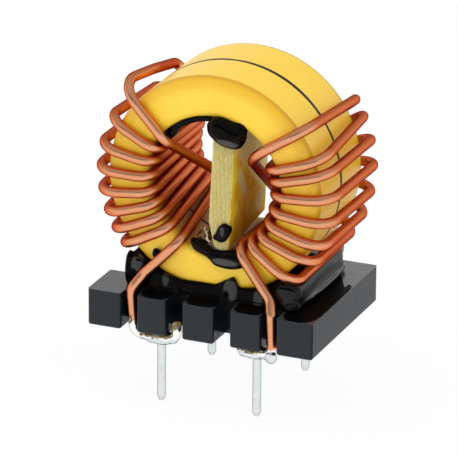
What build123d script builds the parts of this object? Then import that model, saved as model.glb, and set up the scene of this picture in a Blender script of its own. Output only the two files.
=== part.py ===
from build123d import *
import os
from math import cos, radians, sin

os.makedirs("parts", exist_ok=True)

# Frame: origin at the centre of the four pins, on the top of the circuit board,
# X to the right, Y from the front to the rear, Z up. All sizes in millimetres.
# The pieces are drawn with zero height at the pins' shoulder and raised by BOARD_GAP at the end.
BOARD_GAP = 2.0

# Header and pins
PIN_PITCH_X = 10.16
PIN_PITCH_Y = 12.7
PIN_D = 0.85
PIN_BELOW = 7.9
PIN_INSIDE = 2.6
SHANK_W = 0.8
SHANK_BELOW = 1.85
BASE_W = 23.75
BASE_D = 17.3
BASE_H = 3.8
BASE_X = -0.1
BASE_Y = -0.12
BASE_Z = -0.12
NOTCH_X = (-7.5, -2.7, 2.35, 7.25)
NOTCH_W = 1.7
NOTCH_DEPTH = 3.2
FINGER_EDGE_R = 0.3
UNDER_EDGE_R = 0.25
SIDE_CUT_X = 2.0
SIDE_CUT_HALF_Y = 3.1

# Ring cores, standing on edge with their axis along Y
CORE_Z = 15.15
CORE_R = 11.1
HOLE_R = 7.0
CORE_T = 12.0
CORE_EDGE_R = 0.9
COAT_T = 0.45
BOND_T = 0.4
BOND_INSET = 0.04

# Windings
WIRE_D = 1.03
TURNS = 8
FACE_Y = 6.6
INNER_R = 6.38
BEND_R = 1.6
LEFT = {
    "front_outer": (45, 28, 13, 1, -10, -21, -30, -38),
    "front_outer_r": 12.25,
    "front_bend_r": 2.3,
    "front_inner": (42, 28, 15, 1, -13, -24, -36, -48),
    "back_outer": (40, 25, 14, 4, -6, -16, -26, -36),
    "back_outer_r": 12.0,
}
RIGHT = {
    "front_outer": (37, 21, 14, 2, -10, -22, -31, -45),
    "front_outer_r": 12.4,
    "front_bend_r": 2.5,
    "front_inner": (42, 24, 13, 1, -13, -26, -40, -52),
    "back_outer": (33, 25, 13, 1, -12, -24, -36, -45),
    "back_outer_r": 12.35,
}
BACK_INNER = (27, 17, 7, -3, -13, -23, -34, -45)
LEAD_INNER = -63

# Insulating plate in the hole
PLATE_T = 2.1
PLATE_TURN = 5.1
PLATE_LEAN = 2.7
PLATE_X = 0.44
PLATE_TOP_Z = 21.5
PLATE_FOOT_Z = 8.4


def box_between(x0, x1, y0, y1, z0, z1):
    """Box given by its limits."""
    size = Box(x1 - x0, y1 - y0, z1 - z0)
    return Pos((x0 + x1) / 2, (y0 + y1) / 2, (z0 + z1) / 2) * size


def ring(outer_r, inner_r, y0, y1):
    """Plain ring round the core axis between two Y planes."""
    length = y1 - y0
    body = Cylinder(outer_r, length) - Cylinder(inner_r, length)
    return Pos(0, (y0 + y1) / 2, CORE_Z) * Rot(90, 0, 0) * body


def polar(side, radius, angle, y):
    """Point at a radius and angle above the horizontal, on the left (-1) or right (1) of the core."""
    a = radians(angle)
    return (side * radius * cos(a), y, CORE_Z + radius * sin(a))


def tube(points, radii, diameter):
    """Round wire along straight runs joined by tangent arcs."""
    path = FilletPolyline(*points, radius=radii)
    section = Plane(origin=path @ 0, z_dir=path % 0) * Circle(diameter / 2)
    return sweep(section, path=path)


def bead(centre, half_length, radius):
    """Round-ended bead lying along X."""
    straight = half_length - radius
    body = Rot(0, 90, 0) * Cylinder(radius, 2 * straight)
    body += Pos(-straight, 0, 0) * Sphere(radius)
    body += Pos(straight, 0, 0) * Sphere(radius)
    return Pos(*centre) * body


# Header


def make_pin(sx, sy):
    """Round pin with a tapered tip and a square shank pressed into its finger."""
    standing = (Align.CENTER, Align.CENTER, Align.MIN)
    pin = Cylinder(PIN_D / 2, PIN_BELOW - SHANK_BELOW, align=standing)
    tip = pin.edges().group_by(Axis.Z)[0]
    pin = chamfer(tip, 0.45, 0.22)
    shank = Box(SHANK_W, SHANK_W, SHANK_BELOW + PIN_INSIDE, align=standing)
    pin += Pos(0, 0, PIN_BELOW - SHANK_BELOW) * shank
    return Pos(sx * PIN_PITCH_X / 2, sy * PIN_PITCH_Y / 2, -PIN_BELOW) * pin


def make_base(pins):
    """Moulded header: five fingers along the front and the rear, one open side."""
    half_w, half_d = BASE_W / 2, BASE_D / 2
    base = box_between(-half_w, half_w, -half_d, half_d, 0, BASE_H)
    for x in NOTCH_X:
        for sy in (-1, 1):
            middle = sy * (half_d - NOTCH_DEPTH / 2 + 0.5)
            base -= Pos(x, middle, BASE_H / 2) * Box(NOTCH_W, NOTCH_DEPTH + 1, BASE_H + 1)
    base -= Pos(-half_w, 0, BASE_H / 2) * Box(2 * SIDE_CUT_X, 2 * SIDE_CUT_HALF_Y, BASE_H + 1)
    upright = base.edges().filter_by(Axis.Z)
    tips = [e for e in upright if abs(e.center().Y) > half_d - 0.1]
    cheeks = [e for e in upright if e.center().X < 0.1 - half_w and abs(e.center().Y) < SIDE_CUT_HALF_Y + 0.1]
    base = fillet(tips + cheeks, FINGER_EDGE_R)
    under = base.faces().sort_by(Axis.Z)[0].outer_wire().edges()
    base = Pos(BASE_X, BASE_Y, BASE_Z) * fillet(under, UNDER_EDGE_R)
    for pin in pins:
        base -= pin
    return base


# Core


def make_ferrite(y0, y1):
    """Bare ring inside the coating."""
    return ring(CORE_R - COAT_T, HOLE_R + COAT_T, y0, y1)


def coated_ring(y_face, y_seam):
    """Outside of one coated ring, well rounded at the open face, crisp at the seam."""
    lo, hi = min(y_face, y_seam), max(y_face, y_seam)
    body = ring(CORE_R, HOLE_R, lo, hi)
    rims = body.edges().filter_by(GeomType.CIRCLE)
    face_rims = [e for e in rims if abs(e.center().Y - y_face) < 0.01]
    return fillet(face_rims, CORE_EDGE_R)


def make_bond():
    """Thin dark adhesive between the two rings, a little below their surface."""
    return ring(CORE_R - BOND_INSET, HOLE_R + BOND_INSET, -BOND_T / 2, BOND_T / 2)


# Windings


def front_hook(side):
    """Wire end at the front pin: under the finger, round the pin and up the notch to the core."""
    if side < 0:
        return [
            (-2.95, -7.6, 0.75),
            (-3.0, -7.55, -0.65),
            (-7.5, -7.5, -0.65),
            (-7.72, -7.9, 3.9),
            (-6.7, -7.1, 5.45),
        ]
    return [
        (3.9, -7.5, -0.65),
        (7.1, -7.5, -0.65),
        (7.1, -7.9, 3.4),
        (6.7, -7.1, 4.7),
    ]


def rear_lead(side):
    """Wire from the last turn through the hole, down the rear face and round the rear pin."""
    return [
        (side * 1.8, FACE_Y + 0.1, 10.6),
        (side * 6.9, 7.1, 5.4),
        (side * 7.3, 7.7, 4.0),
        (side * 7.3, 7.4, -0.65),
        (side * 3.9, 7.4, -0.65),
    ]


def winding_route(side, plan):
    """Corner points and bend radii of one winding, from the front pin to the rear pin."""
    points = front_hook(side)
    radii = [0.9] * (len(points) - 2) + [1.5]
    if side < 0:
        radii = [0.8, 0.9, 1.6, 1.5]
    points.append(polar(side, INNER_R, LEAD_INNER, -FACE_Y))
    radii.append(BEND_R)
    for turn in reversed(range(TURNS)):
        points.append(polar(side, INNER_R, BACK_INNER[turn], FACE_Y))
        points.append(polar(side, plan["back_outer_r"], plan["back_outer"][turn], FACE_Y))
        radii += [BEND_R, BEND_R]
        if side < 0 and turn == 0:
            points[-1] = polar(side, 11.8, plan["back_outer"][turn], FACE_Y)
            points.append(polar(side, 12.55, 48, -1.0))
            points.append(polar(side, 13.5, plan["front_outer"][turn], -FACE_Y - 0.1))
            radii += [6.0, plan["front_bend_r"]]
        else:
            points.append(polar(side, plan["front_outer_r"], plan["front_outer"][turn], -FACE_Y))
            radii.append(plan["front_bend_r"])
        if side > 0 and turn == 0:
            points.append(polar(side, 5.9, plan["front_inner"][turn], -FACE_Y - 0.4))
            radii.append(3.0)
        else:
            points.append(polar(side, INNER_R, plan["front_inner"][turn], -FACE_Y))
            radii.append(BEND_R)
    tail = rear_lead(side)
    points += tail
    radii += [1.5, 1.5, 1.2, 0.9]
    return points, radii


def make_winding(side, plan):
    """One enamelled winding in a single length of wire."""
    points, radii = winding_route(side, plan)
    return tube(points, radii, WIRE_D)


# Plate and epoxy


def make_plate():
    """Laminate plate standing in the hole between the windings, its foot cut away on the left."""
    half = PLATE_T / 2
    foot = [(half, 8.8), (0.55, PLATE_FOOT_Z), (-0.4, 9.1), (-half, 11.6)]
    outline = Polyline((-half, PLATE_TOP_Z), (half, PLATE_TOP_Z), *foot, close=True)
    body = extrude(make_face(Plane.XZ * outline), CORE_T / 2, both=True)
    leaning = Pos(0, 0, CORE_Z) * Rot(0, PLATE_LEAN, 0) * Pos(0, 0, -CORE_Z) * body
    return Pos(PLATE_X, 0, 0) * Rot(0, 0, PLATE_TURN) * leaning


def make_bed(windings):
    """Epoxy bed between the header and the core, running out over the middle fingers."""
    top = BASE_Z + BASE_H
    crest = [(-9.4, 6.9), (-7.9, 7.0), (-5.7, 5.8), (-3.3, 5.2), (0.5, 5.2), (1.8, 6.0), (2.8, 5.3), (6.2, 5.6)]
    crest += [(7.9, 6.2), (9.5, 6.0)]
    outline = Polyline((-9.4, top), *crest, (9.5, top), close=True)
    bed = extrude(make_face(Plane.XZ * outline), 6.7, both=True)
    bed &= extrude(Pos(0.2, 0, top) * RectangleRounded(18.4, 13.3, 1.4), 4, taper=4)
    front = [(-8.3, top), (-8.1, top + 0.13), (-6.8, top + 0.22), (-6.15, 5.3)]
    rear = [(-y, z) for y, z in reversed(front)]
    apron = extrude(make_face(Plane.YZ * Polyline(*front, *rear, close=True)), 6.45, both=True)
    for x in NOTCH_X:
        for sy in (-1, 1):
            apron -= Pos(BASE_X + x, sy * (BASE_D / 2 - 0.75), 6) * Box(NOTCH_W, 4.5, 4.8)
    bed += apron
    bed -= ring(CORE_R, 0.5, -CORE_T / 2, CORE_T / 2)
    for winding in windings:
        bed -= winding
    return bed


def make_joint(side, end, winding, pin, base):
    """Solder round a pin and the wire hooked past it under the finger."""
    x = side * PIN_PITCH_X / 2
    run = Pos(side * 5.3, end * 7.45, -0.68) * Rot(0, 90, 0) * Cylinder(0.6, 3.0)
    bridge = bead((x, end * 6.95, -0.75), 1.25, 0.72)
    collar = Pos(x, end * PIN_PITCH_Y / 2, -1.0) * Cone(0.52, 0.95, 1.6)
    joint = run + bridge + collar
    joint -= box_between(-20, 20, -20, 20, BASE_Z, 3)
    return joint - winding - pin - base


def largest(body, cutters):
    """What is left of a drop outside the pieces it wets."""
    for cutter in cutters:
        body -= cutter
    return body.solids().sort_by(SortBy.VOLUME)[-1]


def make_top_blob(cutters):
    """Drop of epoxy holding the head of the plate under the roof of the hole."""
    blob = Pos(1.5, -5.75, 20.95) * Rot(0, 22, 0) * bead((0, 0, 0), 2.1, 1.3)
    return largest(blob, cutters)


def make_bottom_blob(cutters):
    """Epoxy round the foot of the plate, hanging over the rim of the hole and running up its left side."""
    blob = Pos(1.9, -5.9, 8.0) * Rot(0, -4, 0) * bead((0, 0, 0), 2.0, 0.95)
    blob += Pos(-0.55, -5.75, 8.4) * Rot(0, 21, 0) * bead((0, 0, 0), 1.7, 0.62)
    return largest(blob, cutters)


def make_dab(plate):
    """Small drop on the front edge of the plate."""
    dab = Pos(1.2, -5.75, 10.55) * Rot(0, -68, 0) * bead((0, 0, 0), 1.15, 0.72)
    return largest(dab, (plate,))


def make_rim_bead(cutters):
    """Run of epoxy along the upper left rim of the hole."""
    radius = 6.85
    profile = Plane.YZ * Pos(-5.3, CORE_Z + radius) * Circle(0.42)
    axis = Axis((0, 0, CORE_Z), (0, 1, 0))
    rim = revolve(profile, axis, -40)
    rim += Pos(*polar(-1, radius, 50, -5.3)) * Sphere(0.42)
    return largest(rim, cutters)


PINS = {
    "pin_front_left": make_pin(-1, -1),
    "pin_front_right": make_pin(1, -1),
    "pin_rear_left": make_pin(-1, 1),
    "pin_rear_right": make_pin(1, 1),
}


def build():
    """All pieces by node name."""
    half = CORE_T / 2
    seam = BOND_T / 2
    nodes = dict(PINS)
    nodes["base"] = make_base(PINS.values())
    front = make_ferrite(-half + COAT_T, -seam - COAT_T)
    rear = make_ferrite(seam + COAT_T, half - COAT_T)
    nodes["ring_front"] = front
    nodes["ring_rear"] = rear
    body_front = coated_ring(-half, -seam)
    body_rear = coated_ring(half, seam)
    nodes["coating_front"] = body_front - front
    nodes["coating_rear"] = body_rear - rear
    nodes["bond_line"] = make_bond()
    nodes["winding_left"] = make_winding(-1, LEFT)
    nodes["winding_right"] = make_winding(1, RIGHT)
    nodes["divider_plate"] = make_plate()
    windings = (nodes["winding_left"], nodes["winding_right"])
    nodes["epoxy_bed"] = make_bed(windings)
    for side, name in ((-1, "left"), (1, "right")):
        for end, row in ((-1, "front"), (1, "rear")):
            pin = nodes[f"pin_{row}_{name}"]
            joint = make_joint(side, end, nodes[f"winding_{name}"], pin, nodes["base"])
            nodes[f"solder_{row}_{name}"] = joint
    around = (body_front, nodes["divider_plate"]) + windings
    nodes["epoxy_top"] = make_top_blob(around)
    nodes["epoxy_foot"] = make_bottom_blob(around)
    nodes["epoxy_dab"] = make_dab(nodes["divider_plate"])
    nodes["epoxy_rim"] = make_rim_bead(around + (nodes["epoxy_top"],))
    return nodes


for name, solid in build().items():
    export_step(Pos(0, 0, BOARD_GAP) * solid, f"parts/{name}.step")
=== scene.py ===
"""Finishes, cast epoxy, solder and the studio for a common mode filter."""

import random
from math import cos, pi, radians, sin

import bmesh
import bpy
from mathutils import Euler, Matrix, Vector, noise


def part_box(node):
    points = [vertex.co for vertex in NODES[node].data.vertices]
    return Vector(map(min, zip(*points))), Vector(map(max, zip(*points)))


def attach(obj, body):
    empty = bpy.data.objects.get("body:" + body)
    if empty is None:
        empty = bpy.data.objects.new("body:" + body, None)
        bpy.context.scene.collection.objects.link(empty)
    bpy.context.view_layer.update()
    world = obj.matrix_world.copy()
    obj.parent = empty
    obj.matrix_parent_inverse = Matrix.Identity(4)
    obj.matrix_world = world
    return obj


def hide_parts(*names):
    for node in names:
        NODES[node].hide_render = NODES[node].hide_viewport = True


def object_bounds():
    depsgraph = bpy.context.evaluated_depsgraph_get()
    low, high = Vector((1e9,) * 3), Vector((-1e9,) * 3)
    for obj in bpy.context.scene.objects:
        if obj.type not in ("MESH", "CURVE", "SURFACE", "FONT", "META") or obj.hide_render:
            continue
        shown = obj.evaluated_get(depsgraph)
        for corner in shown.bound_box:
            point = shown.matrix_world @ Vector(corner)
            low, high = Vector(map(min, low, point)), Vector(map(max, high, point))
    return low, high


bl_info = {
    "name": "Common Mode Filter",
    "version": (1, 0, 0),
    "blender": (4, 5, 0),
    "location": "3D View > Sidebar > Filter",
    "description": "Dresses a toroidal common mode filter and sets it in a small studio",
    "category": "Object",
}

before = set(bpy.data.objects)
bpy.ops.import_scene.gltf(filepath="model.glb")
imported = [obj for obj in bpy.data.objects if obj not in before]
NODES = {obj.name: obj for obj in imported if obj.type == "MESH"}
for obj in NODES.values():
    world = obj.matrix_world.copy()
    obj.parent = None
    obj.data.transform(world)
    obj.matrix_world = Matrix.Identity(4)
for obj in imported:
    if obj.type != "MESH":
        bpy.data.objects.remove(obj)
CAD_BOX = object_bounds()
MM = 0.001

# Width of the photograph in pixels, and of the camera's sensor in millimetres.
PICTURE = 458
SENSOR = 36.0

# Outer radius of the coated ring cores less the radius of their hole.
CORE_WALL = 4.1 * MM

# Glass layers of the dividing plate: turned with it about the vertical, tilted a little of their own.
PLATE_TURN = radians(5.1)
LAYER_TILT = 0.04
LAYER_THICKNESS = 0.42 * MM


# Sizes and colours a user would change


def colour_setting(name, description, default):
    """A colour property."""
    return bpy.props.FloatVectorProperty(
        name=name, description=description, default=default, subtype="COLOR", size=3, min=0.0, max=1.0
    )


def length_setting(name, description, default):
    """A length property, in metres."""
    return bpy.props.FloatProperty(
        name=name, description=description, default=default, unit="LENGTH", precision=5
    )


def angle_setting(name, description, degrees):
    """An angle property."""
    return bpy.props.FloatProperty(
        name=name, description=description, default=radians(degrees), subtype="ANGLE"
    )


def number_setting(name, description, default):
    """A plain number."""
    return bpy.props.FloatProperty(name=name, description=description, default=default)


class FilterFinish(bpy.types.PropertyGroup):
    """Colours and sizes of the filter's finishes."""

    coating: colour_setting("Coating", "Epoxy coat on the ring cores", (0.97, 0.645, 0.046))
    # Deeper coat colour for the rounded rims, also used as painted shade inside the ring's hole.
    coating_rim_and_hole_shade: colour_setting("Coating rim and hole shade", "Deeper coat on the rims, painted shade in the hole", (0.64, 0.33, 0.006))
    copper: colour_setting("Copper", "Bare copper under the enamel", (0.96, 0.97, 0.95))
    copper_deep: colour_setting("Deep copper", "Darker streaks of the copper", (0.9, 0.82, 0.7))
    enamel: colour_setting("Enamel", "Clear enamel, deeper where seen edge on", (0.94, 0.49, 0.31))
    tin: colour_setting("Tin", "Pins, solder and tinned wire ends", (0.98, 0.99, 0.99))
    header: colour_setting("Header", "Moulded header", (0.0035, 0.006, 0.009))
    epoxy: colour_setting("Epoxy", "Cast epoxy", (0.0015, 0.0014, 0.0013))
    laminate: colour_setting("Laminate", "Resin on the faces of the dividing plate", (0.84, 0.52, 0.015))
    laminate_edge: colour_setting("Laminate edge", "Cut edges of the dividing plate", (0.5, 0.41, 0.13))
    residue: colour_setting("Flux residue", "Dried flux at the solder", (0.2, 0.13, 0.04))
    tin_left_z: length_setting("Tin on the left", "Height where the left wire's tin starts", 0.0029)
    tin_right_z: length_setting("Tin on the right", "Height where the right wire's tin starts", 0.002)
    voxel: length_setting("Cast detail", "Smallest detail in the epoxy bed", 0.00016)


class FilterStudio(bpy.types.PropertyGroup):
    """Camera and light."""

    azimuth: angle_setting("Azimuth", "How far the camera stands to the right of the front", 22.7)
    elevation: angle_setting("Elevation", "How far the camera looks down", 21.0)
    roll: angle_setting("Roll", "Turn of the camera about its view", 0.45)
    distance: length_setting("Distance", "From the aim to the camera", 0.50072)
    aim_right: length_setting("Aim right", "Aim to the right of the pins' centre", -0.00053)
    aim_up: length_setting("Aim up", "Aim above the pins' centre", 0.00998)
    focal_px: number_setting("Focal length", "In pixels of the picture", 5054.6)
    sky: number_setting("Sky", "Strength of the even light all round", 0.66)
    key: number_setting("Key", "Power of the soft box overhead", 0.7)
    fill: number_setting("Fill", "Power of the soft box at the right", 0.25)
    front: number_setting("Front", "Power of the low soft box in front", 0.38)


# Node trees


# Colour sockets of the Mix node.
MIX_FIRST, MIX_SECOND, MIX_RESULT = 6, 7, 2

WHITE = (1.0, 1.0, 1.0, 1.0)


def opaque(colour):
    """Adds alpha to a colour; a socket stays as it is."""
    if isinstance(colour, bpy.types.NodeSocket):
        return colour
    return (*colour, 1.0)


def scaled(colour, factor):
    """A lighter or darker shade of a colour."""
    return tuple(min(1.0, factor * c) for c in colour)


class Tree:
    """Short ways to lay out a node tree."""

    def __init__(self, tree):
        self.tree = tree

    def add(self, kind, inputs=None, **settings):
        """A node with its settings, its inputs linked or set."""
        made = self.tree.nodes.new(kind)
        for key, value in settings.items():
            setattr(made, key, value)
        for key, value in (inputs or {}).items():
            self.feed(made.inputs[key], value)
        return made

    def feed(self, socket, value):
        """Links a socket, or sets it."""
        if isinstance(value, bpy.types.NodeSocket):
            self.tree.links.new(value, socket)
        else:
            socket.default_value = value

    def math(self, operation, a, b=0.0):
        """A result of one Math node."""
        return self.add("ShaderNodeMath", {0: a, 1: b}, operation=operation).outputs[0]

    def plus(self, a, b):
        """a + b"""
        return self.math("ADD", a, b)

    def minus(self, a, b):
        """a - b"""
        return self.math("SUBTRACT", a, b)

    def times(self, a, b):
        """a * b"""
        return self.math("MULTIPLY", a, b)

    def larger(self, a, b):
        """The larger of two values."""
        return self.math("MAXIMUM", a, b)

    def unsigned(self, value):
        """A value without its sign."""
        return self.math("ABSOLUTE", value)

    def rise(self, value, low, high):
        """0 below low, 1 above high, smooth between."""
        inputs = {"Value": value, "From Min": low, "From Max": high}
        return self.add("ShaderNodeMapRange", inputs, interpolation_type="SMOOTHSTEP").outputs[0]

    def fall(self, value, low, high):
        """1 below low, 0 above high, smooth between."""
        return self.minus(1.0, self.rise(value, low, high))

    def spread(self, value, low, high):
        """Stretches 0 to 1 to low to high."""
        inputs = {"Value": value, "To Min": low, "To Max": high}
        return self.add("ShaderNodeMapRange", inputs).outputs[0]

    def seen(self):
        """1 for rays of the camera, of gloss and of glass, 0 for light on the filter."""
        rays = self.add("ShaderNodeLightPath").outputs
        mirrored = self.larger(rays["Is Glossy Ray"], rays["Is Transmission Ray"])
        return self.larger(rays["Is Camera Ray"], mirrored)


class Surface(Tree):
    """A material while its nodes are laid out."""

    def __init__(self, name):
        self.material = bpy.data.materials.new(name)
        self.material.use_nodes = True
        super().__init__(self.material.node_tree)
        self.shader = self.tree.nodes["Principled BSDF"]
        self.place = self.add("ShaderNodeTexCoord").outputs["Object"]

    def blend(self, factor, first, second):
        """A colour between two."""
        inputs = {"Factor": factor, MIX_FIRST: opaque(first), MIX_SECOND: opaque(second)}
        return self.add("ShaderNodeMix", inputs, data_type="RGBA").outputs[MIX_RESULT]

    def cloud(self, size_mm, detail=3.0, stretch=None):
        """Noise with features of about that size."""
        place = self.place
        if stretch:
            place = self.add("ShaderNodeMapping", {"Vector": place, "Scale": stretch}).outputs[0]
        inputs = {"Vector": place, "Scale": 1.0 / (size_mm * MM), "Detail": detail}
        return self.add("ShaderNodeTexNoise", inputs).outputs["Fac"]

    def spot(self, centre_mm, size_mm, turn, soft):
        """1 inside an egg about a point, 0 outside; turned about X in degrees."""
        inputs = {
            "Vector": self.place,
            "Location": [c * MM for c in centre_mm],
            "Rotation": (radians(turn), 0.0, 0.0),
            "Scale": [c * MM for c in size_mm],
        }
        local = self.add("ShaderNodeMapping", inputs, vector_type="TEXTURE").outputs[0]
        away = self.add("ShaderNodeVectorMath", {0: local}, operation="LENGTH").outputs["Value"]
        return self.fall(away, 1.0 - soft, 1.0 + soft)

    def parts(self, vector):
        """X, Y and Z of a vector."""
        return self.add("ShaderNodeSeparateXYZ", {"Vector": vector}).outputs

    def normal(self):
        """The way the surface faces."""
        return self.add("ShaderNodeNewGeometry").outputs["Normal"]

    def along(self, vector, direction):
        """How far a vector reaches in a direction."""
        inputs = {0: vector, 1: direction}
        return self.add("ShaderNodeVectorMath", inputs, operation="DOT_PRODUCT").outputs["Value"]

    def relief(self, height, depth_mm, strength):
        """Bumps from a height between 0 and 1."""
        inputs = {"Height": height, "Distance": depth_mm * MM, "Strength": strength}
        self.feed(self.shader.inputs["Normal"], self.add("ShaderNodeBump", inputs).outputs[0])

    def finish(self, **values):
        """Sets the shader's own sockets and returns the material."""
        for key, value in values.items():
            socket = self.shader.inputs[key.replace("_", " ")]
            self.feed(socket, opaque(value) if socket.type == "RGBA" else value)
        return self.material


# Materials


def frame_ring():
    """Centre height, radii and front face of the ring cores, from the frame."""
    low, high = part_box("coating_front")
    outer = (high[2] - low[2]) / 2
    return {"z": (high[2] + low[2]) / 2, "outer": outer, "hole": outer - CORE_WALL, "face": -low[1]}


def ring_coating(look):
    """Satin epoxy coat, deeper in colour along the rounded rims, with painted shade inside the hole."""
    skin = Surface("ring_coating")
    x, y, z = skin.parts(skin.place)
    ring = frame_ring()
    up = skin.minus(z, ring["z"])
    radius = skin.math("SQRT", skin.plus(skin.times(x, x), skin.times(up, up)))
    from_seam = skin.unsigned(y)
    outward = skin.rise(radius, ring["outer"] - 2.1 * MM, ring["outer"] - 0.5 * MM)
    forward = skin.rise(from_seam, ring["face"] - 1.0 * MM, ring["face"] - 0.8 * MM)
    rounding = skin.fall(from_seam, ring["face"] - 0.7 * MM, ring["face"] - 0.02 * MM)
    rim = skin.plus(skin.times(outward, 0.55), skin.times(rounding, 0.45))
    rim = skin.times(skin.times(rim, forward), outward)
    # Painted shade: the bore, deeper than the front face, takes the deeper coat colour.
    inner = skin.fall(radius, ring["hole"] + 0.2 * MM, ring["hole"] + 0.9 * MM)
    deep = skin.fall(from_seam, ring["face"] - 2.2 * MM, ring["face"] - 0.7 * MM)
    rim_and_hole_shade = skin.larger(rim, skin.times(inner, deep))
    body = skin.blend(skin.spread(skin.cloud(2.6), 0.0, 0.16), look.coating, look.coating_rim_and_hole_shade)
    skin.relief(skin.plus(skin.cloud(0.5, 2.0), skin.times(skin.cloud(3.0, 1.0), 1.6)), 0.02, 0.6)
    return skin.finish(
        Base_Color=skin.blend(rim_and_hole_shade, body, look.coating_rim_and_hole_shade),
        Roughness=skin.spread(skin.cloud(1.2), 0.3, 0.44),
        IOR=1.52,
    )


def enamelled_copper(look):
    """Drawn copper under clear enamel, tinned where the ends are soldered."""
    skin = Surface("enamelled_copper")
    x, _, z = skin.parts(skin.place)
    fade = 0.12 * MM
    streaks = skin.times(skin.cloud(1.7, 4.0), skin.cloud(0.35, 2.0))
    copper = skin.blend(skin.spread(streaks, -0.1, 1.6), look.copper_deep, look.copper)
    left = skin.math("LESS_THAN", x, 0.0)
    start = skin.spread(left, look.tin_right_z, look.tin_left_z)
    ragged = skin.plus(z, skin.times(skin.minus(skin.cloud(0.4), 0.5), 0.9 * MM))
    tinned = skin.fall(skin.minus(ragged, start), -fade, fade)
    skin.relief(skin.plus(skin.cloud(0.3, 2.0), skin.cloud(1.3, 2.0)), 0.02, 0.5)
    return skin.finish(
        Base_Color=skin.blend(tinned, copper, look.tin),
        Metallic=1.0,
        Roughness=skin.spread(tinned, 0.32, 0.16),
        Specular_Tint=(0.2, 0.06, 0.02),
        Coat_Weight=skin.spread(tinned, 1.0, 0.0),
        Coat_Roughness=0.3,
        Coat_IOR=1.03,
        Coat_Tint=look.enamel,
    )


def moulded_header(look):
    """Black moulded plastic with a painted reflection paling its level faces towards the back, and
    duller on its side walls.
    """
    skin = Surface("moulded_header")
    # Painted reflection: level faces, more so towards the back, are paled to this grey.
    painted_top_reflection = (0.08, 0.083, 0.08)
    backward = skin.rise(skin.parts(skin.place)[1], -8 * MM, 6 * MM)
    sideways, _, upward = skin.parts(skin.normal())
    level = skin.times(skin.rise(upward, 0.5, 0.9), skin.spread(backward, 0.45, 1.0))
    side = skin.rise(skin.unsigned(sideways), 0.5, 0.9)
    sheen = skin.minus(skin.plus(0.5, skin.times(level, 0.5)), skin.times(side, 0.35))
    body = skin.blend(skin.spread(skin.cloud(1.5, 5.0), 0.0, 0.7), look.header, scaled(look.header, 2.2))
    skin.relief(skin.plus(skin.cloud(0.12, 2.0), skin.times(skin.cloud(1.5, 2.0), 2.0)), 0.012, 0.6)
    return skin.finish(
        Base_Color=skin.blend(level, body, painted_top_reflection),
        Roughness=skin.spread(skin.cloud(0.8), 0.1, 0.2),
        Specular_IOR_Level=sheen,
        IOR=1.44,
    )


def bright_tin(name, look, rough):
    """Tin with the faint unevenness of a dipped finish."""
    skin = Surface(name)
    uneven = skin.spread(skin.cloud(0.7), -0.1, 0.9)
    skin.relief(skin.plus(skin.cloud(0.5, 2.0), skin.cloud(0.16, 2.0)), 0.02, 0.5)
    return skin.finish(
        Base_Color=skin.blend(uneven, look.tin, scaled(look.tin, 0.72)),
        Metallic=1.0,
        Roughness=skin.spread(skin.cloud(0.4), rough, rough + 0.14),
        Specular_Tint=(0.04, 0.05, 0.06),
        Coat_Weight=1.0,
        Coat_Roughness=0.15,
        Coat_IOR=1.0,
        Coat_Tint=(0.91, 0.93, 0.94),
    )


def cast_epoxy(name, look, gloss, rough, wet_places):
    """Black epoxy with a wavy skin, dulled by handling except where it stayed wet."""
    skin = Surface(name)
    brown = (0.008, 0.004, 0.0015)
    skin.relief(skin.plus(skin.cloud(1.8, 1.0), skin.times(skin.cloud(0.5, 1.0), 0.12)), 0.06, 0.4)
    shine = skin.spread(skin.cloud(0.9), 0.6 * gloss, 1.4 * gloss)
    for centre, size, turn, level in wet_places:
        shine = skin.larger(shine, skin.times(skin.spot(centre, size, turn, 0.25), level))
    right_side = skin.rise(skin.parts(skin.place)[0], 8.4 * MM, 9.2 * MM)
    grain = skin.spread(skin.cloud(0.7), rough, rough + 0.1)
    return skin.finish(
        Base_Color=skin.blend(skin.rise(skin.cloud(1.1), 0.5, 0.75), look.epoxy, brown),
        Roughness=skin.plus(grain, skin.times(right_side, 0.22)),
        Specular_IOR_Level=shine,
        IOR=1.5,
    )


def level_epoxy(look):
    """The same epoxy where it has run out to a level film."""
    skin = Surface("level_epoxy")
    paler = (0.004, 0.003, 0.003)
    skin.relief(skin.cloud(2.0, 2.0), 0.02, 0.3)
    return skin.finish(
        Base_Color=skin.blend(skin.rise(skin.cloud(0.5), 0.4, 0.8), look.epoxy, paler),
        Roughness=skin.spread(skin.cloud(0.9), 0.3, 0.42),
        Specular_IOR_Level=0.02,
        IOR=1.5,
    )


def clear_resin():
    """Amber resin, as in the thin lumps beside the plate."""
    skin = Surface("clear_resin")
    dark, amber = (0.06, 0.02, 0.005), (0.22, 0.12, 0.04)
    skin.relief(skin.cloud(0.5, 2.0), 0.06, 0.5)
    return skin.finish(
        Base_Color=skin.blend(skin.rise(skin.cloud(0.6), 0.4, 0.7), dark, amber),
        Roughness=skin.spread(skin.cloud(0.4), 0.1, 0.25),
        IOR=1.5,
    )


# Where glass shows pale through the faces of the plate, besides its upper end:
# centre, half sizes in millimetres, turn about X in degrees.
GLASS_PATCHES = (
    ((1.5, -2.2, 16.5), (9.0, 0.7, 2.5), 40.0),
    ((1.5, 4.0, 12.7), (9.0, 1.4, 1.1), -20.0),
)


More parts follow.
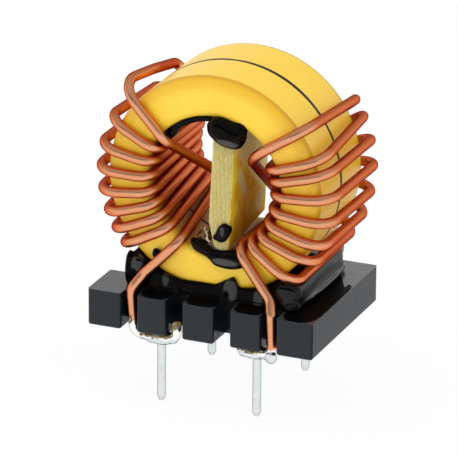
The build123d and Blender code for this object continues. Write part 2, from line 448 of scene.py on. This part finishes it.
def laminate_plate(look):
    """Glass fibre laminate: resin faces with paler glass showing and painted shade low down, layered cut
    edges.
    """
    skin = Surface("laminate_plate")
    _, y, z = skin.parts(skin.place)
    across = (cos(PLATE_TURN), sin(PLATE_TURN), LAYER_TILT)
    layer = skin.times(skin.along(skin.place, across), 1.0 / LAYER_THICKNESS)
    wander = skin.times(skin.cloud(0.6, 2.0), 0.9)
    wave = skin.unsigned(skin.math("SINE", skin.times(skin.plus(layer, wander), pi)))
    speck = skin.cloud(0.2, 4.0, stretch=(1.6, 1.6, 0.45))
    stain = skin.rise(skin.cloud(0.35, 3.0, stretch=(1.8, 1.8, 0.5)), 0.58, 0.72)
    pale_layer, brown_stain = (0.62, 0.55, 0.26), (0.4, 0.29, 0.05)
    edge = skin.blend(skin.times(wave, skin.rise(speck, 0.3, 0.7)), look.laminate_edge, pale_layer)
    edge = skin.blend(stain, edge, brown_stain)

    above = skin.minus(skin.plus(z, skin.times(y, 0.75)), 16.9 * MM)
    glass = skin.rise(skin.plus(above, skin.times(skin.cloud(1.5), 1.2 * MM)), 0.2 * MM, 1.3 * MM)
    for centre, size, turn in GLASS_PATCHES:
        glass = skin.larger(glass, skin.spot(centre, size, turn, 0.35))
    fibre = skin.spread(skin.cloud(0.3, 3.0), 0.35, 1.0)
    # Painted shade: the resin fades to brown towards the bottom of the plate.
    shaded = skin.spread(skin.rise(z, 10.0 * MM, 15.0 * MM), 0.5, 0.0)
    golden, brown, pale_glass = (1.0, 0.8, 0.06), (0.34, 0.17, 0.006), (0.9, 1.0, 0.55)
    resin = skin.blend(skin.rise(skin.cloud(1.6, 3.0), 0.35, 0.65), look.laminate, golden)
    resin = skin.blend(shaded, resin, brown)
    face = skin.blend(skin.times(glass, fibre), resin, pale_glass)

    on_face = skin.rise(skin.unsigned(skin.along(skin.normal(), across)), 0.6, 0.8)
    skin.relief(skin.plus(speck, skin.times(skin.cloud(1.5), 1.5)), 0.04, 0.5)
    return skin.finish(
        Base_Color=skin.blend(on_face, edge, face),
        Roughness=skin.spread(on_face, 0.5, 0.6),
        Subsurface_Weight=0.6,
        Subsurface_Radius=(0.8, 0.8, 0.3),
        Subsurface_Scale=2.5 * MM,
        Specular_IOR_Level=skin.spread(on_face, 0.4, 0.06),
        IOR=1.5,
    )


def plain_surface(name, colour, roughness):
    """Fine grained matt surface for the hidden pieces and the dark seam."""
    skin = Surface(name)
    skin.relief(skin.cloud(0.2), 0.01, 0.5)
    mottled = skin.blend(skin.cloud(0.6), colour, scaled(colour, 1.4))
    return skin.finish(Base_Color=mottled, Roughness=roughness)


def dried_flux(look):
    """Clear brown flux residue over a pale crust."""
    skin = Surface("dried_flux")
    crust = (0.36, 0.33, 0.2)
    skin.relief(skin.cloud(0.25, 3.0), 0.08, 0.7)
    return skin.finish(
        Base_Color=skin.blend(skin.rise(skin.cloud(0.3), 0.45, 0.62), look.residue, crust),
        Roughness=skin.spread(skin.cloud(0.5), 0.12, 0.4),
        IOR=1.5,
    )


def pale_scrap():
    """Whitish scraped laminate dust held in resin."""
    skin = Surface("pale_scrap")
    dust, resin = (0.72, 0.66, 0.5), (0.42, 0.33, 0.18)
    skin.relief(skin.cloud(0.15, 3.0), 0.04, 0.6)
    return skin.finish(
        Base_Color=skin.blend(skin.rise(skin.cloud(0.2), 0.4, 0.6), dust, resin),
        Roughness=0.5,
    )


def dress(names, material):
    """Gives CAD nodes their material."""
    for name in names:
        mesh = NODES[name].data
        mesh.materials.clear()
        mesh.materials.append(material)


# Cast and soldered forms


def add_object(name, data):
    """A new object in the scene."""
    made = bpy.data.objects.new(name, data)
    bpy.context.scene.collection.objects.link(made)
    return made


def add_mesh(name, points, faces):
    """A new object from points in metres."""
    mesh = bpy.data.meshes.new(name)
    mesh.from_pydata(points, [], faces)
    return add_object(name, mesh)


def lump(shape, centre, size, turn):
    """Adds one egg to a shape; millimetres and degrees."""
    place = Matrix.Translation(Vector(centre) * MM)
    tilt = Euler([radians(a) for a in turn]).to_matrix().to_4x4()
    scale = Matrix.Diagonal((size[0] * MM, size[1] * MM, size[2] * MM, 1.0))
    bmesh.ops.create_icosphere(shape, subdivisions=3, radius=1.0, matrix=place @ tilt @ scale)


def heap(node, lumps):
    """A copy of a CAD node's mesh with eggs heaped on it."""
    shape = bmesh.new()
    shape.from_mesh(NODES[node].data)
    for centre, size, turn in lumps:
        lump(shape, centre, size, turn)
    return shape


def crumbs(shape, path, count, size, spread, seed):
    """Strews small eggs along a path; millimetres."""
    chance = random.Random(seed)
    for k in range(count):
        along = (k + chance.random()) / count * (len(path) - 1)
        start = min(int(along), len(path) - 2)
        place = Vector(path[start]).lerp(Vector(path[start + 1]), along - start)
        place += Vector([chance.uniform(-spread, spread) for _ in range(3)])
        half = [size * chance.uniform(0.55, 1.25) for _ in range(3)]
        lump(shape, place, half, [chance.uniform(0, 90) for _ in range(3)])


def fuse(name, shape, voxel, rounds, waver_mm, waver_size_mm):
    """Melts a shape of overlapping closed parts into one smooth, slightly wavy skin."""
    rough = bpy.data.meshes.new(name + "_rough")
    shape.to_mesh(rough)
    shape.free()
    source = add_object(name + "_rough", rough)
    remesh = source.modifiers.new("melt", "REMESH")
    remesh.mode = "VOXEL"
    remesh.voxel_size = voxel
    graph = bpy.context.evaluated_depsgraph_get()
    mesh = bpy.data.meshes.new_from_object(source.evaluated_get(graph))
    bpy.data.objects.remove(source)
    bpy.data.meshes.remove(rough)
    soft = bmesh.new()
    soft.from_mesh(mesh)
    every_way = {"use_axis_x": True, "use_axis_y": True, "use_axis_z": True}
    for _ in range(rounds):
        bmesh.ops.smooth_vert(soft, verts=soft.verts, factor=0.5, **every_way)
    soft.normal_update()
    size = waver_size_mm * MM
    moves = [v.normal * noise.noise(v.co / size) * waver_mm * MM for v in soft.verts]
    for vert, move in zip(soft.verts, moves):
        vert.co += move
    soft.to_mesh(mesh)
    soft.free()
    mesh.name = name
    mesh.shade_smooth()
    return add_object(name, mesh)


def seam_bead(ring):
    """Black adhesive squeezed out along the seam of the two rings, wider in places."""
    steps = 240
    half_width, waver, waves = 0.25, 0.12, 2.5
    proud, slope = 0.02, 0.05
    crest = ring["outer"] + proud * MM
    border = crest - slope * MM
    top = CAD_BOX[1][2]
    points, faces = [], []
    for k in range(steps):
        angle = 2 * pi * k / steps
        wobble = noise.noise(Vector((waves * cos(angle), waves * sin(angle), 0.5)))
        half = (half_width + waver * wobble) * MM
        for y, radius in ((-half, border), (-0.7 * half, crest), (0.7 * half, crest), (half, border)):
            points.append((radius * sin(angle), y, min(top, ring["z"] + radius * cos(angle))))
    for k in range(steps):
        here, after = 4 * k, 4 * ((k + 1) % steps)
        faces += [(here + j, here + j + 1, after + j + 1, after + j) for j in range(3)]
    return add_mesh("seam_bead", points, faces)


def film(name, outline, level, thickness):
    """Thin level puddle with a rounded border; millimetres."""
    cut = 0.22
    border = [Vector(p) for p in outline]
    for _ in range(2):
        rounded = []
        for here, after in zip(border, border[1:] + border[:1]):
            rounded += [here.lerp(after, cut), here.lerp(after, 1.0 - cut)]
        border = rounded
    middle = sum(border, Vector((0.0, 0.0))) / len(border)
    points, faces = [], []
    for inset, height in ((0.0, -0.02), (0.02, 0.6 * thickness), (0.1, thickness)):
        for p in border:
            q = p + (middle - p).normalized() * inset
            points.append((q.x * MM, q.y * MM, (level + height) * MM))
    n = len(border)
    for ring in range(2):
        for k in range(n):
            a, b = ring * n + k, ring * n + (k + 1) % n
            faces.append((a, b, b + n, a + n))
    faces.append([2 * n + k for k in range(n)])
    return add_mesh(name, points, faces)


def settle(piece, material, slot, *nodes):
    """Colours a new piece, fixes it to the filter and lets it stand for CAD nodes."""
    piece.data.materials.clear()
    piece.data.materials.append(material)
    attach(piece, "root")
    if nodes:
        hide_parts(*nodes)


# Places of the cast and soldered forms, in millimetres and degrees


# Lumps on the epoxy bed: centre, half sizes, turn.
BED_LUMPS = (
    ((-8.65, -5.95, 7.3), (0.5, 0.7, 2.1), (0, 0, 0)),
    ((-7.55, -6.3, 7.9), (0.8, 0.5, 1.15), (0, 0, 0)),
    ((-5.5, -6.45, 9.3), (0.6, 0.35, 0.95), (0, -20, 0)),
    ((2.2, -6.3, 6.9), (0.8, 0.45, 1.5), (0, 12, 0)),
    ((7.9, -5.7, 7.1), (1.6, 1.0, 1.5), (0, 0, 0)),
    ((8.55, 0.8, 7.2), (0.7, 6.8, 1.9), (4, 0, 0)),
    ((9.1, 0.8, 6.15), (0.75, 6.0, 0.35), (0, 0, 0)),
    ((8.6, -6.3, 6.1), (1.0, 0.8, 0.4), (0, 0, 0)),
)

# Where the bed stayed wet and bright: centre, half sizes, turn about X, level of the gloss.
WET_ON_BED = (
    ((-7.6, -6.6, 8.0), (0.65, 1.5, 1.1), 0.0, 0.62),
    ((2.25, -6.6, 6.9), (0.7, 1.5, 1.3), 0.0, 0.62),
    ((-4.6, -6.6, 7.1), (0.35, 1.5, 0.8), 0.0, 0.5),
    ((8.2, -6.2, 7.2), (1.2, 1.6, 1.5), 0.0, 0.3),
    ((9.2, 1.5, 8.2), (1.2, 7.2, 2.1), 3.0, 0.36),
    ((5.2, -6.6, 6.6), (0.5, 1.5, 1.0), 0.0, 0.5),
    ((9.6, 1.0, 6.3), (0.9, 6.6, 0.25), 0.0, 1.0),
)

# The same for the drops.
WET_ON_DROPS = (
    ((1.75, -6.9, 22.05), (1.2, 1.2, 0.5), 0.0, 0.9),
    ((1.7, -6.8, 9.85), (1.4, 1.2, 0.35), 0.0, 0.9),
    ((1.3, -6.6, 12.9), (0.22, 0.8, 0.55), 0.0, 0.7),
    ((-5.2, -5.8, 21.5), (0.5, 0.9, 0.35), 0.0, 0.7),
)

# Films that ran out over the header's top: thickness, outline.
FILMS = {
    "film_finger_2": (0.2, [(-6.6, -8.72), (-3.65, -8.72), (-3.65, -6.2), (-6.6, -6.2)]),
    "film_finger_3": (0.2, [(-1.75, -8.72), (1.4, -8.72), (1.4, -6.2), (-1.75, -6.2)]),
    "film_finger_4": (0.2, [(3.3, -8.72), (6.3, -8.72), (6.3, -6.2), (3.3, -6.2)]),
    "film_right": (0.07, [
        (8.05, -8.7), (11.72, -8.72), (11.73, -2.0), (11.73, 1.2), (11.6, 2.1), (11.15, 2.6),
        (11.15, 1.3), (10.3, 3.0), (9.2, 5.1), (8.4, 5.0), (8.4, -2.0),
    ]),
}

# Lumps on each epoxy drop: centre, half sizes, turn.
DROPS = {
    "epoxy_top": (
        ((2.9, -5.5, 23.65), (0.85, 0.6, 0.75), (0, 0, 0)),
        ((0.2, -5.8, 23.6), (0.9, 0.6, 0.45), (0, -15, 0)),
        ((1.6, -6.0, 22.6), (1.9, 1.05, 1.15), (0, 20, 0)),
    ),
    "epoxy_foot": (
        ((0.4, -6.0, 10.15), (1.3, 0.8, 0.6), (0, 14, 0)),
        ((-1.5, -5.8, 10.95), (0.95, 0.6, 0.5), (0, 30, 0)),
        ((1.8, -6.1, 9.7), (1.9, 0.8, 0.75), (0, 0, 0)),
        ((3.2, -5.9, 10.3), (0.6, 0.7, 0.75), (0, -30, 0)),
    ),
    "epoxy_dab": (
        ((1.2, -6.05, 12.6), (0.72, 0.5, 1.15), (0, 22, 0)),
        ((0.45, -6.0, 12.0), (0.4, 0.3, 0.4), (0, 0, 0)),
    ),
    "epoxy_rim": (
        ((-3.0, -5.3, 23.2), (0.85, 0.4, 0.38), (0, -28, 0)),
        ((-4.7, -5.3, 21.8), (1.2, 0.5, 0.6), (0, -44, 0)),
        ((-5.5, -5.2, 20.9), (0.6, 0.45, 0.6), (0, -50, 0)),
        ((-1.6, -5.3, 23.75), (0.5, 0.4, 0.4), (0, -15, 0)),
    ),
}

# Lumps on the two solder joints in front; those at the rear have none.
JOINTS = {
    "solder_front_left": (
        ((-4.9, -7.35, 1.0), (1.7, 0.75, 0.55), (0, 0, 0)),
        ((-3.35, -7.5, 1.35), (0.6, 0.6, 0.6), (0, -35, 0)),
    ),
    "solder_front_right": (
        ((4.9, -7.5, 1.15), (1.35, 0.7, 0.5), (0, 4, 0)),
        ((7.1, -7.75, 1.2), (0.62, 0.5, 0.75), (0, 0, 0)),
        ((3.9, -7.6, 1.5), (0.4, 0.5, 0.45), (0, 0, 0)),
    ),
}

# Crumbs of flux about the front joints: path, count, half size, spread, seed.
FLUX_CRUMBS = (
    ([(-6.5, -8.3, 1.65), (-5.0, -8.45, 1.5), (-3.5, -8.3, 1.7)], 26, 0.16, 0.1, 4),
    ([(-2.95, -8.0, 2.3), (-2.75, -7.9, 3.1)], 26, 0.22, 0.28, 7),
    ([(-7.6, -8.4, 2.5), (-7.55, -8.35, 3.1)], 8, 0.14, 0.14, 9),
    ([(3.6, -8.3, 1.75), (5.0, -8.4, 1.65), (6.4, -8.3, 1.7)], 20, 0.13, 0.08, 5),
)

# Clear resin and pale scraps beside the plate, as the lumps and the crumbs above.
RESIN_LUMP = ((-1.35, -4.4, 11.3), (0.75, 1.0, 0.85), (0, 20, 0))
RESIN_CRUMBS = ([(-1.9, -4.6, 10.9), (-1.2, -4.6, 11.7), (-0.9, -4.8, 12.3)], 6, 0.3, 0.2, 3)
SCRAP_CRUMBS = ([(-0.75, -6.0, 12.9), (-0.5, -6.0, 12.0), (-0.2, -6.0, 11.4)], 12, 0.12, 0.09, 8)


# Studio


# How much of the floor shines as plain white paper where it is seen.
FLOOR_PAPER = 0.95

# Sizes and places from here on are in metres.
FLOOR_HALF = 3.0
CARD_HALF = 2.0
CARD_HEIGHT = 0.9
LAMP_AIM = (0.0, 0.0, 0.014)

# Corners of the black card, upright behind the camera and above its height.
BLACK_CARD = [(-0.95, -0.9, 0.38), (1.45, -0.9, 0.38), (1.45, -0.9, 0.8), (-0.95, -0.9, 0.8)]

# Soft boxes: name, also that of the power in the settings, place, side.
SOFT_BOXES = (
    ("key", (-0.14, -0.1, 0.41), 0.28),
    ("fill", (0.26, -0.12, 0.18), 0.2),
    ("front", (-0.12, -0.42, 0.06), 0.16),
)


def level_corners(half, height):
    """Corners of a level square about the middle."""
    return [(-half, -half, height), (half, -half, height), (half, half, height), (-half, half, height)]


def flat_sheet(name, corners, material):
    """A flat piece of the studio."""
    made = add_mesh(name, corners, [(0, 1, 2, 3)])
    made.data.materials.append(material)
    return made


def lay_floor():
    """White floor that the camera sees as paper, with a soft shadow on it."""
    skin = Surface("white_floor")
    skin.finish(Base_Color=(0.93, 0.93, 0.93), Roughness=0.9)
    paper = skin.add("ShaderNodeEmission", {"Color": WHITE, "Strength": 1.0})
    share = skin.times(skin.seen(), FLOOR_PAPER)
    mix = skin.add("ShaderNodeMixShader", {0: share, 1: skin.shader.outputs[0], 2: paper.outputs[0]})
    skin.feed(skin.tree.nodes["Material Output"].inputs["Surface"], mix.outputs[0])
    floor = flat_sheet("floor", level_corners(FLOOR_HALF, CAD_BOX[0][2]), skin.material)


def hang_cards():
    """Black card behind the camera and a grey one overhead, both only for gloss to reflect."""
    overhead = level_corners(CARD_HALF, CARD_HEIGHT)
    for name, corners, grey in (("black_card", BLACK_CARD, 0.01), ("grey_card", overhead, 0.8)):
        material = Surface(name).finish(Base_Color=(grey, grey, grey), Roughness=0.9)
        card = flat_sheet(name, corners, material)
        card.visible_diffuse = False


def light_sky(studio):
    """Even light all round, white wherever it is seen."""
    world = bpy.data.worlds.new("studio")
    bpy.context.scene.world = world
    world.use_nodes = True
    sky = Tree(world.node_tree)
    background = sky.tree.nodes["Background"]
    sky.feed(background.inputs["Color"], WHITE)
    sky.feed(background.inputs["Strength"], sky.spread(sky.seen(), studio.sky, 1.0))


def hang_box(name, place, side, power):
    """Square soft box aimed at the core, which gloss doesn't reflect."""
    lamp = bpy.data.lights.new(name, "AREA")
    lamp.shape = "SQUARE"
    lamp.size = side
    lamp.energy = power
    box = add_object(name, lamp)
    box.location = place
    aim = Vector(LAMP_AIM) - Vector(place)
    box.rotation_euler = aim.to_track_quat("-Z", "Y").to_euler()
    box.visible_glossy = False


def aim_camera(studio):
    """Camera at the photograph's angle, distance and framing."""
    a, e, r = studio.azimuth, studio.elevation, studio.roll
    back = Vector((sin(a) * cos(e), -cos(a) * cos(e), sin(e)))
    level = Vector((cos(a), sin(a), 0.0))
    upright = back.cross(level)
    right = level * cos(r) + upright * sin(r)
    up = upright * cos(r) - level * sin(r)
    lens = bpy.data.cameras.new("camera")
    lens.sensor_width = SENSOR
    lens.lens = studio.focal_px * SENSOR / PICTURE
    lens.clip_start = 0.01
    camera = add_object("camera", lens)
    place = right * studio.aim_right + up * studio.aim_up + back * studio.distance
    turn = Matrix((right, up, back)).transposed().to_4x4()
    camera.matrix_world = Matrix.Translation(place) @ turn
    bpy.context.scene.camera = camera


# Operators


class FILTER_OT_header(bpy.types.Operator):
    """Gives the header and its pins their finish"""

    bl_idname = "filter.header"
    bl_label = "Header and Pins"

    def execute(self, context):
        look = context.scene.filter_finish
        dress(["base"], moulded_header(look))
        pins = [name for name in NODES if name.startswith("pin_")]
        dress(pins, bright_tin("tinned_pins", look, rough=0.16))
        return {"FINISHED"}


class FILTER_OT_core(bpy.types.Operator):
    """Gives the coated rings, their ferrite and the seam their finish"""

    bl_idname = "filter.core"
    bl_label = "Ring Cores"

    def execute(self, context):
        look = context.scene.filter_finish
        dress(["coating_front", "coating_rear"], ring_coating(look))
        ferrite = plain_surface("ferrite", colour=(0.03, 0.03, 0.032), roughness=0.6)
        dress(["ring_front", "ring_rear"], ferrite)
        adhesive = plain_surface("seam_adhesive", colour=(0.002, 0.0016, 0.001), roughness=0.5)
        dress(["bond_line"], adhesive)
        settle(seam_bead(frame_ring()), adhesive, "epoxy")
        return {"FINISHED"}


class FILTER_OT_windings(bpy.types.Operator):
    """Gives both windings their enamelled copper with tinned ends"""

    bl_idname = "filter.windings"
    bl_label = "Windings"

    def execute(self, context):
        dress(["winding_left", "winding_right"], enamelled_copper(context.scene.filter_finish))
        return {"FINISHED"}


class FILTER_OT_plate(bpy.types.Operator):
    """Gives the dividing plate its laminate"""

    bl_idname = "filter.plate"
    bl_label = "Dividing Plate"

    def execute(self, context):
        dress(["divider_plate"], laminate_plate(context.scene.filter_finish))
        return {"FINISHED"}


class FILTER_OT_epoxy_bed(bpy.types.Operator):
    """Casts the epoxy bed between core and header"""

    bl_idname = "filter.epoxy_bed"
    bl_label = "Epoxy Bed"

    def execute(self, context):
        look = context.scene.filter_finish
        shape = heap("epoxy_bed", BED_LUMPS)
        bed = fuse("cast_bed", shape, look.voxel, rounds=10, waver_mm=0.04, waver_size_mm=1.8)
        wavy = cast_epoxy("cast_bed", look, gloss=0.05, rough=0.1, wet_places=WET_ON_BED)
        settle(bed, wavy, "epoxy", "epoxy_bed")
        flat = level_epoxy(look)
        header_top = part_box("base")[1][2] / MM
        for name, (thickness, outline) in FILMS.items():
            settle(film(name, outline, header_top, thickness), flat, "epoxy")
        return {"FINISHED"}


class FILTER_OT_epoxy_drops(bpy.types.Operator):
    """Casts the epoxy drops on the plate and the hole's rim"""

    bl_idname = "filter.epoxy_drops"
    bl_label = "Epoxy Drops"

    def execute(self, context):
        look = context.scene.filter_finish
        material = cast_epoxy("cast_drops", look, gloss=0.08, rough=0.06, wet_places=WET_ON_DROPS)
        for node, lumps in DROPS.items():
            name = "cast_" + node.removeprefix("epoxy_")
            shape = heap(node, lumps)
            drop = fuse(name, shape, 0.09 * MM, rounds=24, waver_mm=0.03, waver_size_mm=1.6)
            settle(drop, material, "epoxy", node)
        return {"FINISHED"}


class FILTER_OT_solder(bpy.types.Operator):
    """Flows the solder round the four pins"""

    bl_idname = "filter.solder"
    bl_label = "Solder"

    def execute(self, context):
        material = bright_tin("solder", context.scene.filter_finish, rough=0.12)
        for node in sorted(n for n in NODES if n.startswith("solder_")):
            name = "flowed_" + node.removeprefix("solder_")
            shape = heap(node, JOINTS.get(node, ()))
            joint = fuse(name, shape, 0.07 * MM, rounds=5, waver_mm=0.05, waver_size_mm=0.7)
            settle(joint, material, "solder", node)
        return {"FINISHED"}


class FILTER_OT_residue(bpy.types.Operator):
    """Leaves flux at the joints and scraps of resin beside the plate"""

    bl_idname = "filter.residue"
    bl_label = "Flux and Resin Residue"

    def execute(self, context):
        shape = bmesh.new()
        for row in FLUX_CRUMBS:
            crumbs(shape, *row)
        flux = fuse("flux", shape, 0.07 * MM, rounds=2, waver_mm=0.05, waver_size_mm=0.25)
        settle(flux, dried_flux(context.scene.filter_finish), "epoxy")

        shape = bmesh.new()
        lump(shape, *RESIN_LUMP)
        crumbs(shape, *RESIN_CRUMBS)
        resin = fuse("resin_lump", shape, 0.09 * MM, rounds=3, waver_mm=0.08, waver_size_mm=0.5)
        settle(resin, clear_resin(), "epoxy")

        shape = bmesh.new()
        crumbs(shape, *SCRAP_CRUMBS)
        scraps = fuse("resin_scraps", shape, 0.06 * MM, rounds=1, waver_mm=0.03, waver_size_mm=0.2)
        settle(scraps, pale_scrap(), "epoxy")
        return {"FINISHED"}


class FILTER_OT_studio(bpy.types.Operator):
    """Sets the pale floor, the soft light and the camera"""

    bl_idname = "filter.studio"
    bl_label = "Studio"

    def execute(self, context):
        studio = context.scene.filter_studio
        lay_floor()
        hang_cards()
        light_sky(studio)
        for name, place, side in SOFT_BOXES:
            hang_box(name, place, side, getattr(studio, name))
        aim_camera(studio)
        view = context.scene.view_settings
        view.view_transform = "Standard"
        return {"FINISHED"}


# Panel and registration


STEPS = (
    FILTER_OT_header,
    FILTER_OT_core,
    FILTER_OT_windings,
    FILTER_OT_plate,
    FILTER_OT_epoxy_bed,
    FILTER_OT_epoxy_drops,
    FILTER_OT_solder,
    FILTER_OT_residue,
    FILTER_OT_studio,
)


class FILTER_PT_panel(bpy.types.Panel):
    """Lists the settings and the pieces"""

    bl_idname = "FILTER_PT_panel"
    bl_label = "Common Mode Filter"
    bl_space_type = "VIEW_3D"
    bl_region_type = "UI"
    bl_category = "Filter"

    def draw(self, context):
        for group in (context.scene.filter_finish, context.scene.filter_studio):
            box = self.layout.box()
            for name in group.__annotations__:
                box.prop(group, name)
        for step in STEPS:
            self.layout.operator(step.bl_idname)


CLASSES = (FilterFinish, FilterStudio, *STEPS, FILTER_PT_panel)


def register():
    """Adds the settings, operators and panel."""
    for cls in CLASSES:
        bpy.utils.register_class(cls)
    bpy.types.Scene.filter_finish = bpy.props.PointerProperty(type=FilterFinish)
    bpy.types.Scene.filter_studio = bpy.props.PointerProperty(type=FilterStudio)


def unregister():
    """Takes them away again."""
    del bpy.types.Scene.filter_studio
    del bpy.types.Scene.filter_finish
    for cls in reversed(CLASSES):
        bpy.utils.unregister_class(cls)


def main():
    """Builds everything in order."""
    register()
    for step in STEPS:
        area, name = step.bl_idname.split(".")
        getattr(getattr(bpy.ops, area), name)()


if __name__ == "__main__":
    main()
